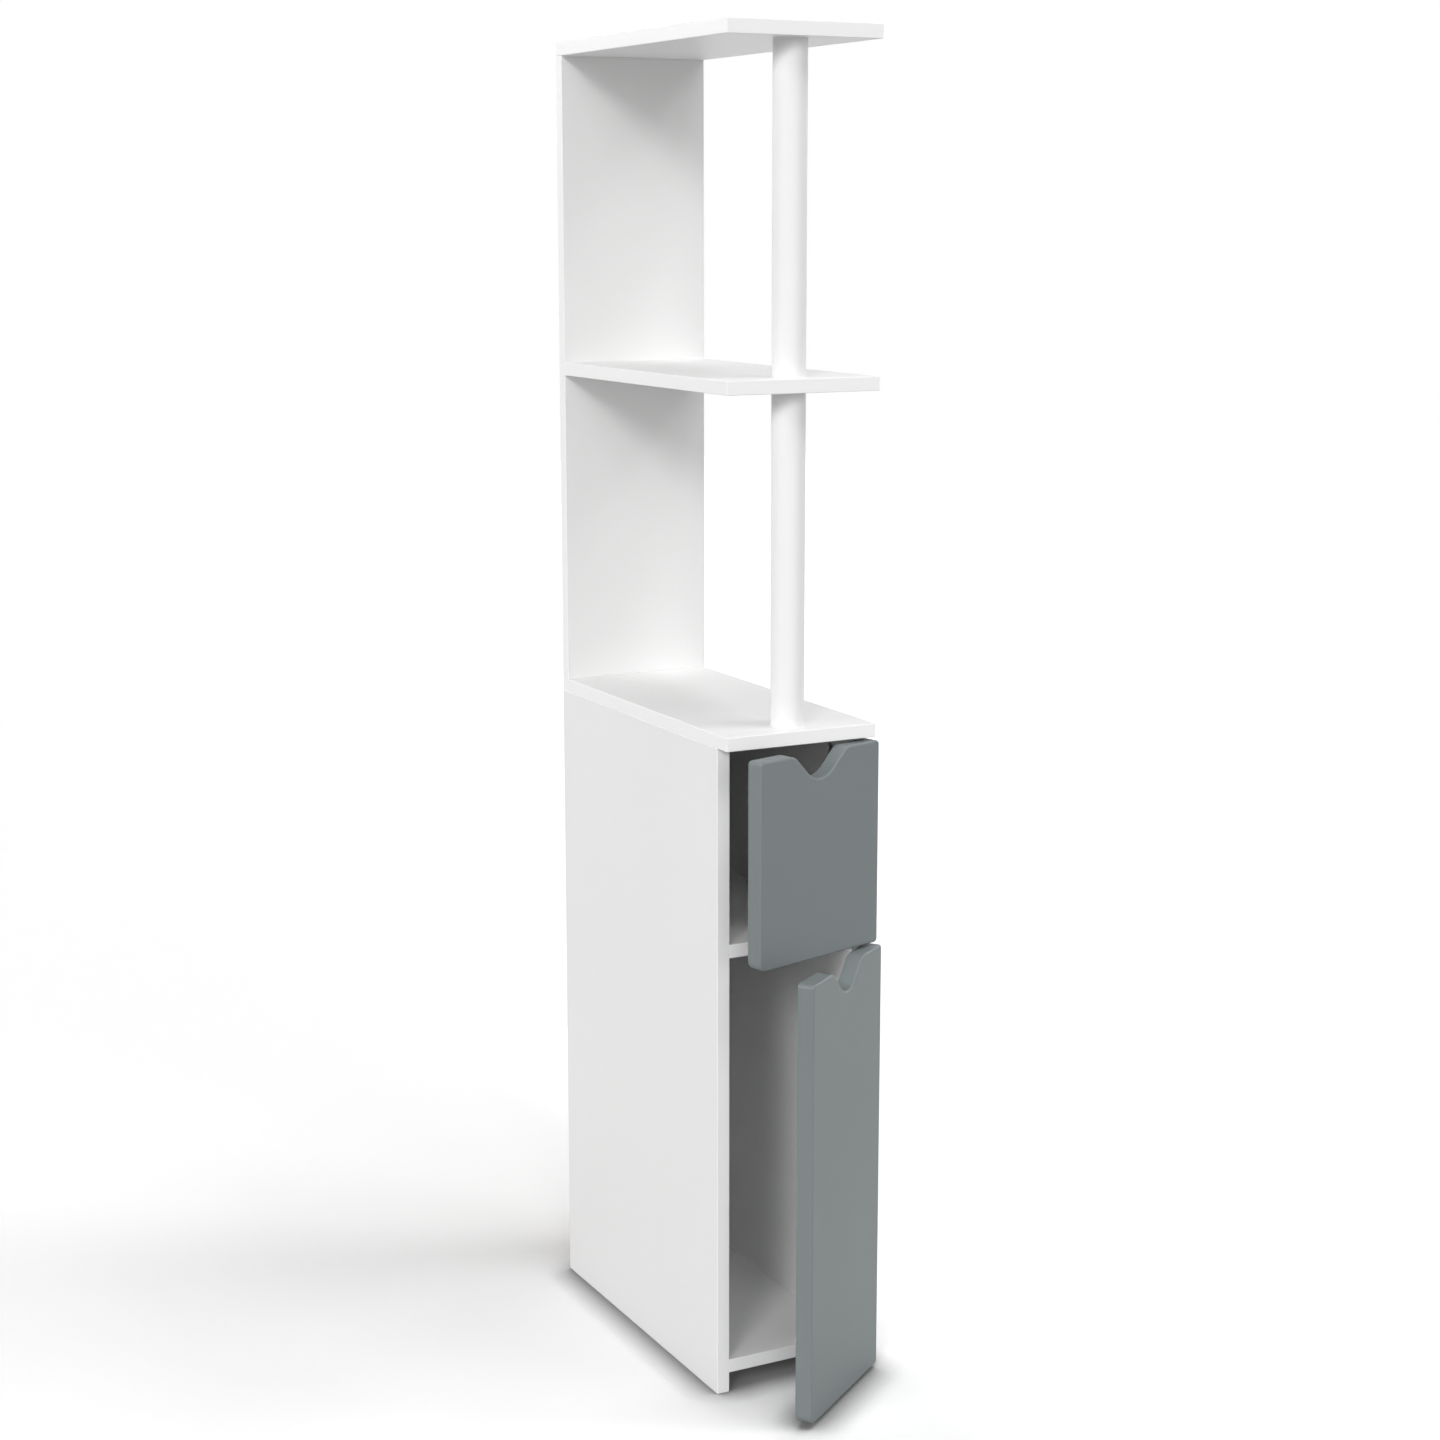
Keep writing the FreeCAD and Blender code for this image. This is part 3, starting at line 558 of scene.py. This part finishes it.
def makeMouldedFinish(name):
    finish = mouldedFinishes[name]
    material, tree, place, surface = newFinish("moulded_" + name)
    grain = useGroup(tree, grainGroup, {"Place": place, "Grain": mouldedGrain["spark"],
                                        "Drift": mouldedGrain["drift"]})
    tone = spread(tree, grain["Tone"], 0, 1)
    tree.links.new(blendColours(tree, tone, finish["dark"], finish["light"]), surface.inputs["Base Color"])
    tree.links.new(spread(tree, grain["Tone"], *finish["roughness"]), surface.inputs["Roughness"])
    addBump(tree, surface, grain["Height"], mouldedGrain["sparkStrength"], mouldedGrain["sparkDepth"])
    return material


hardboardFinish = {
    "white": (0.855, 0.855, 0.845),
    "whiteLight": (0.875, 0.875, 0.868),
    "fibre": (0.235, 0.135, 0.070),
    "fibreLight": (0.340, 0.215, 0.120),
    "fibreScale": 160.0,
    "drift": 7.0,
    "fibreDepth": 0.0004,
    "fibreStrength": 0.35,
    "whiteRoughness": 0.42,
    "fibreRoughness": 0.80,
}


def makeHardboardFinish(node):
    low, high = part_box(node)
    middle = (low.y + high.y) / 2
    material, tree, place, surface = newFinish("whiteFacedHardboard")
    grain = useGroup(tree, grainGroup, {"Place": place, "Grain": hardboardFinish["fibreScale"],
                                        "Drift": hardboardFinish["drift"]})
    parts = put(tree, "ShaderNodeSeparateXYZ", {0: place})
    behind = put(tree, "ShaderNodeMath", {0: parts.outputs[1], 1: middle}, operation="GREATER_THAN")
    rear = behind.outputs[0]
    tone = spread(tree, grain["Tone"], 0, 1)
    face = blendColours(tree, tone, hardboardFinish["white"], hardboardFinish["whiteLight"])
    strand = spread(tree, grain["Height"], 0, 1)
    fibre = blendColours(tree, strand, hardboardFinish["fibre"], hardboardFinish["fibreLight"])
    tree.links.new(blendColours(tree, rear, face, fibre), surface.inputs["Base Color"])
    gloss = put(tree, "ShaderNodeMapRange", {0: rear, 3: hardboardFinish["whiteRoughness"],
                                             4: hardboardFinish["fibreRoughness"]})
    tree.links.new(gloss.outputs[0], surface.inputs["Roughness"])
    pressed = put(tree, "ShaderNodeMath", {0: grain["Height"], 1: rear}, operation="MULTIPLY")
    addBump(tree, surface, pressed.outputs[0], hardboardFinish["fibreStrength"],
            hardboardFinish["fibreDepth"])
    return material


beechFinish = {
    "pale": (0.560, 0.380, 0.215),
    "fleck": (0.400, 0.245, 0.125),
    "streak": 1500.0,
    "cloud": 300.0,
    "grainDepth": 0.0002,
    "grainStrength": 0.3,
    "roughness": (0.60, 0.75),
}


def makeBeechFinish():
    material, tree, place, surface = newFinish("flutedBeech")
    wood = useGroup(tree, streakGroup, {"Place": place, "Streak": beechFinish["streak"],
                                        "Cloud": beechFinish["cloud"]})
    tone = spread(tree, wood["Tone"], 0, 1)
    tree.links.new(blendColours(tree, tone, beechFinish["pale"], beechFinish["fleck"]),
                   surface.inputs["Base Color"])
    tree.links.new(spread(tree, wood["Cloud"], *beechFinish["roughness"]), surface.inputs["Roughness"])
    addBump(tree, surface, wood["Height"], beechFinish["grainStrength"], beechFinish["grainDepth"])
    return material


slots = {part["node"]: part["material_slot"] for part in frame["record"]["subparts"]}
finishes = {
    "grey_door": makeDoorFinish(),
    "white_pole": makePoleFinish(),
    "zinc_steel": makeSteelFinish(),
    "hardboard": makeHardboardFinish("base_back_panel"),
    "beech": makeBeechFinish(),
}
for slotName in mouldedFinishes:
    finishes[slotName] = makeMouldedFinish(slotName)
for name, piece in nodes.items():
    finish = makeBoardFinish(name) if slots[name] == "white_board" else finishes[slots[name]]
    piece.data.materials.clear()
    piece.data.materials.append(finish)
print("finishes on", len(nodes), "CAD pieces")


# Small hardware, in millimetres: +Z is the way the head faces, z = 0 is the plane that the head sits in

crossRecess = {                     # shares of the head's radius
    "reach": 0.62,
    "width": 0.17,
    "depth": 0.30,
    "taper": 0.45,
    "step": 0.02,                   # one bar goes this much deeper, so the two floors share no plane
}


def newBlock(name, low, high):
    # a box between two corners, its place already in the mesh
    low, high = Vector(low), Vector(high)
    block = newPrimitive("cube", name, size=1, scale=high - low, location=(low + high) / 2)
    settle()
    return block


def makeCross(radius, z):
    long, wide = crossRecess["reach"] * radius, crossRecess["width"] * radius
    deep = crossRecess["depth"] * 2 * radius
    cross = newBlock("crossCutter", (-long, -wide, z - deep), (long, wide, z + deep))
    pickFaces(cross, faces(-zWay))
    bpy.ops.transform.resize(value=(crossRecess["taper"], 1, 1), center_override=(0, 0, z))
    bpy.ops.mesh.select_all(action="SELECT")
    bpy.ops.mesh.duplicate()
    bpy.ops.transform.rotate(value=math.radians(90), orient_axis="Z", center_override=(0, 0, z))
    bpy.ops.transform.translate(value=(0, 0, -crossRecess["step"] * radius))
    doneEditing()
    return cross


def makeScrew(name, screw):
    # a head of rings above a shank with a point; rings are (drop, radius) pairs from the crown down
    rings = screw["rings"]
    last = rings[0][1]
    piece = newPrimitive("circle", name, vertices=screw["sides"], radius=last * mm, fill_type="NGON",
                         location=(0, 0, screw["crown"] * mm))
    settle()
    pickFaces(piece, lambda face: True)
    for drop, radius in rings:
        growDown(drop * mm, radius / last)
        last = radius
    bpy.ops.mesh.select_all(action="SELECT")
    bpy.ops.mesh.normals_make_consistent(inside=False)
    doneEditing()
    return piece


hingeScrew = {
    "sides": 32,
    "crown": 0.0,
    "rings": ((0.12, 2.25), (0.05, 2.3), (0.83, 1.3), (7.5, 1.3), (2.5, 0.15)),
    "recess": 2.3,
}
catchScrew = {
    "sides": 32,
    "crown": 1.6,
    "rings": ((0.02, 0.95), (0.18, 1.55), (0.35, 2.05), (0.45, 2.28), (0.60, 2.3), (0.02, 1.3), (8.48, 1.3),
              (2.5, 0.15)),
    "recess": 2.0,
}
poleScrew = {
    "sides": 48,
    "crown": 4.0,
    "rings": ((0.02, 2.6), (0.50, 3.8), (0.90, 4.9), (0.90, 5.4), (1.68, 5.5), (0.02, 3.0), (25.0, 3.0),
              (1.0, 2.4)),
    "recess": 4.6,
}
shelfScrew = {
    "sides": 40,
    "crown": 0.0,
    "rings": ((0.02, 3.6), (0.30, 3.9), (0.20, 4.0), (2.98, 4.0), (0.02, 2.5), (33.48, 2.5), (5.0, 0.3)),
    "socketRadius": 2.3,
    "socketDepth": 2.2,
    "socketPoint": 0.92,            # drilled cone below the hexagon
    "pointTip": 0.1,                # its tip as a share of the hexagon
}


def makeCrossScrew(name, screw):
    piece = makeScrew(name, screw)
    cutOut(piece, makeCross(screw["recess"] * mm, screw["crown"] * mm))
    smoothByAngle(piece)
    return piece


def makeSocketScrew(name, screw):
    piece = makeScrew(name, screw)
    key = newPrimitive("cylinder", "hexKey", vertices=6, radius=screw["socketRadius"] * mm,
                       depth=2 * screw["socketDepth"] * mm)
    pickFaces(key, faces(-zWay))
    growDown(screw["socketPoint"] * mm, screw["pointTip"])
    doneEditing()
    cutOut(piece, key)
    smoothByAngle(piece)
    return piece


hingeFit = {"knuckleEdge": 2.75, "plateFace": 0.2, "screwEnd": 8.0, "strikePlate": 1.0}


def hingeScrewSpots(door):
    # heights of a door's hinge screws, with the hinge axis and the screws' distance from it
    levels = []
    for end in ("lower", "upper"):
        low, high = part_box(f"{door}_{end}_hinge_pin")
        levels += [low.z + hingeFit["screwEnd"] * mm, high.z - hingeFit["screwEnd"] * mm]
    axis = (low + high) / 2         # a door's hinges share one axis, so the last pin and leaf give it
    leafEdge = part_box(f"{door}_{end}_hinge_frame_leaf")[0].x
    reach = (axis.x - leafEdge + hingeFit["knuckleEdge"] * mm) / 2
    return axis, reach, levels


def doorTurn(door):
    joint = [entry for entry in frame["joints"] if entry["child"] == door][0]
    return Matrix.Rotation(math.radians(-joint["range_deg"][0]), 4, "Z")


def makeHingeScrews():
    pattern = makeCrossScrew("hingeScrewPattern", hingeScrew)
    plate = hingeFit["plateFace"] * mm
    frameSpots = []
    for door in ("upper_door", "lower_door"):
        axis, reach, levels = hingeScrewSpots(door)
        turn = doorTurn(door)
        doorSpots = []
        for level in levels:
            frameSpots.append((Vector((axis.x - reach, axis.y + plate, level)), -yWay))
            local = Vector((-reach, -plate, 0))
            doorSpots.append((Vector((axis.x, axis.y, level)) + turn @ local, turn @ yWay))
        screws = setDown(pattern, door + "HingeScrews", doorSpots)
        fit(screws, door, "zinc_steel", finishes["zinc_steel"], door + "_hinge_screws")
        side = door.split("_")[0]
        plateLow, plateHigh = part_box(side + "_strike_plate")
        plateFace = (plateLow + plateHigh) / 2 + turn @ (yWay * hingeFit["strikePlate"] / 2 * mm)
        strike = setDown(pattern, side + "StrikeScrew", [(plateFace, turn @ yWay)])
        fit(strike, door, "zinc_steel", finishes["zinc_steel"], side + "_strike_screw")
    screws = setDown(pattern, "frameHingeScrews", frameSpots)
    fit(screws, "cabinet", "zinc_steel", finishes["zinc_steel"], "frame_hinge_screws")
    bpy.data.objects.remove(pattern)


catchFit = {"screwPitch": 27.0, "flange": 2.0}


def makeCatchScrews():
    pattern = makeCrossScrew("catchScrewPattern", catchScrew)
    spots = []
    for side in ("upper", "lower"):
        low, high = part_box(side + "_catch_housing")
        middle = (low + high) / 2
        for sign in (-1, 1):
            ear = middle.x + sign * catchFit["screwPitch"] / 2 * mm
            spots.append((Vector((ear, middle.y, low.z + catchFit["flange"] * mm)), zWay))
    screws = setDown(pattern, "catchScrews", spots)
    fit(screws, "cabinet", "zinc_steel", finishes["zinc_steel"], "catch_screws")
    bpy.data.objects.remove(pattern)


catchHousing = {
    "block": 19.0,
    "earCorner": 4.5,
    "earEdge": 0.4,
    "blockCorner": 1.4,
    "blockEdge": 1.0,
    "cornerSteps": 6,
    "edgeSteps": 3,
    "mouthFlare": 0.6,
    "screwHole": 1.35,
    "holeSides": 24,
}


def roundBlock(block, top, corner, edge):
    # upright corners first, then the rim round the top
    pickEdges(block, lambda start, end: abs(start.z - end.z) > 0.5 * top)
    bpy.ops.mesh.bevel(offset=corner, segments=catchHousing["cornerSteps"], affect="EDGES")
    doneEditing()
    pickEdges(block, lambda start, end: min(start.z, end.z) > 0.99 * top)
    bpy.ops.mesh.bevel(offset=edge, segments=catchHousing["edgeSteps"], affect="EDGES")
    doneEditing()


def housingBase(side):
    low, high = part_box(side + "_catch_housing")
    return Vector(((low.x + high.x) / 2, low.y, low.z))


def makeHousingPattern(side):
    # x from the middle, y from the front face, z from the board
    low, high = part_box(side + "_catch_housing")
    length, depth, height = high - low
    flange = catchFit["flange"] * mm
    half = catchHousing["block"] / 2 * mm
    housing = newBlock("catchHousingPattern", (-length / 2, 0, 0), (length / 2, depth, flange))
    roundBlock(housing, flange, catchHousing["earCorner"] * mm, catchHousing["earEdge"] * mm)
    block = newBlock("catchBlock", (-half, 0, 0), (half, depth, height))
    roundBlock(block, height, catchHousing["blockCorner"] * mm, catchHousing["blockEdge"] * mm)
    combine(housing, block, "UNION")
    magnetLow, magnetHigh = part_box(side + "_catch_magnet")
    base = housingBase(side)
    mouthLow, mouthHigh = magnetLow - base, magnetHigh - base
    cutOut(housing, newBlock("mouthCutter", mouthLow - yWay * mm, mouthHigh))
    flare = catchHousing["mouthFlare"] * mm
    rim = newBlock("rimCutter", mouthLow - yWay * flare, Vector((mouthHigh.x, flare, mouthHigh.z)))
    # the cutter is wider by two flares on each side at its front, so by one at the housing's face
    pickFaces(rim, faces(-yWay))
    mouth = mouthHigh - mouthLow
    bpy.ops.transform.resize(value=(1 + 4 * flare / mouth.x, 1, 1 + 4 * flare / mouth.z),
                             center_override=(mouthLow + mouthHigh) / 2)
    doneEditing()
    cutOut(housing, rim)
    for sign in (-1, 1):
        spot = (sign * catchFit["screwPitch"] / 2 * mm, depth / 2, 0)
        drill = newPrimitive("cylinder", "earDrill", vertices=catchHousing["holeSides"],
                             radius=catchHousing["screwHole"] * mm, depth=4 * flange, location=spot)
        cutOut(housing, drill)
    smoothByAngle(housing)
    return housing


def makeCatchHousings():
    pattern = makeHousingPattern("upper")
    for side in ("upper", "lower"):
        housing = copyOf(pattern)
        rename(housing, side + "CatchHousing")
        housing.location = housingBase(side)
        pickOnly(housing)
        settle()
        fit(housing, "cabinet", "white_plastic", finishes["white_plastic"], side + "_catch_housing")
    bpy.data.objects.remove(pattern)


shelfFit = {"screwSpread": 40.0}


def makeShelfScrews():
    pattern = makeSocketScrew("shelfScrewPattern", shelfScrew)
    low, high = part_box("middle_shelf")
    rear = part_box("upper_back_board")[1].y
    level = (low.z + high.z) / 2
    spots = [(Vector((sign * shelfFit["screwSpread"] * mm, rear, level)), yWay) for sign in (-1, 1)]
    screws = setDown(pattern, "middleShelfScrews", spots)
    fit(screws, "cabinet", "zinc_steel", finishes["zinc_steel"], "middle_shelf_screws")
    bpy.data.objects.remove(pattern)


def makePoleScrew():
    pattern = makeCrossScrew("poleScrewPattern", poleScrew)
    low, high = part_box("pole_base_screw")
    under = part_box("base_top_board")[0].z
    spot = Vector(((low.x + high.x) / 2, (low.y + high.y) / 2, under))
    screw = setDown(pattern, "poleBaseScrew", [(spot, -zWay)])
    fit(screw, "cabinet", "zinc_steel", finishes["zinc_steel"], "pole_base_screw")
    bpy.data.objects.remove(pattern)


camLock = {
    "radius": 5.96,
    "depth": 8.9,
    "sides": 48,
    "edge": 0.35,
    "edgeSteps": 3,
    "rim": 0.8,
    "dish": 0.35,
    "recess": 5.2,
    "setback": 20.0,
    "inset": 40.0,
    "backSpread": 45.0,
}


def makeCamPattern():
    radius, depth = camLock["radius"] * mm, camLock["depth"] * mm
    cam = newPrimitive("cylinder", "camPattern", vertices=camLock["sides"], radius=radius, depth=depth,
                       location=(0, 0, -depth / 2))
    settle()
    pickEdges(cam, lambda start, end: start.z > -mm and end.z > -mm)
    bpy.ops.mesh.bevel(offset=camLock["edge"] * mm, segments=camLock["edgeSteps"], affect="EDGES")
    doneEditing()
    looksUp = faces(zWay)
    pickFaces(cam, lambda face: looksUp(face) and len(face.vertices) > 4)
    bpy.ops.mesh.inset(thickness=camLock["rim"] * mm, depth=0)
    bpy.ops.mesh.inset(thickness=camLock["dish"] * mm, depth=-camLock["dish"] * mm)
    doneEditing()
    cutOut(cam, makeCross(camLock["recess"] * mm, -camLock["dish"] * mm))
    smoothByAngle(cam)
    return cam


def makeCams():
    pattern = makeCamPattern()
    setback, inset = camLock["setback"] * mm, camLock["inset"] * mm
    floorLow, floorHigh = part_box("bottom_board")
    rows = (floorLow.y + inset, floorHigh.y - inset)
    spots = []
    for board in ("bottom_board", "divider_board"):
        low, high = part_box(board)
        for x in (low.x + setback, high.x - setback):
            spots += [(Vector((x, row, low.z)), -zWay) for row in rows]
    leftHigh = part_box("left_side_panel")[1]
    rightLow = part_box("right_side_panel")[0]
    level = leftHigh.z - setback
    for x, facing in ((leftHigh.x, xWay), (rightLow.x, -xWay)):
        spots += [(Vector((x, row, level)), facing) for row in rows]
    low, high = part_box("upper_back_board")
    for level in (low.z + setback, high.z - setback):
        spots += [(Vector((sign * camLock["backSpread"] * mm, high.y, level)), yWay) for sign in (-1, 1)]
    cams = setDown(pattern, "camLocks", spots)
    fit(cams, "cabinet", "zinc_steel", finishes["zinc_steel"], "cam_locks")
    bpy.data.objects.remove(pattern)


makeFloor()
makeSky()
makeLamps()
makeCamera()
scene.view_settings.view_transform = "Standard"
print("studio ready")
makeHingeScrews()
makeCatchHousings()
makeCatchScrews()
makeShelfScrews()
makePoleScrew()
makeCams()
print("screws, catches and cams fitted")
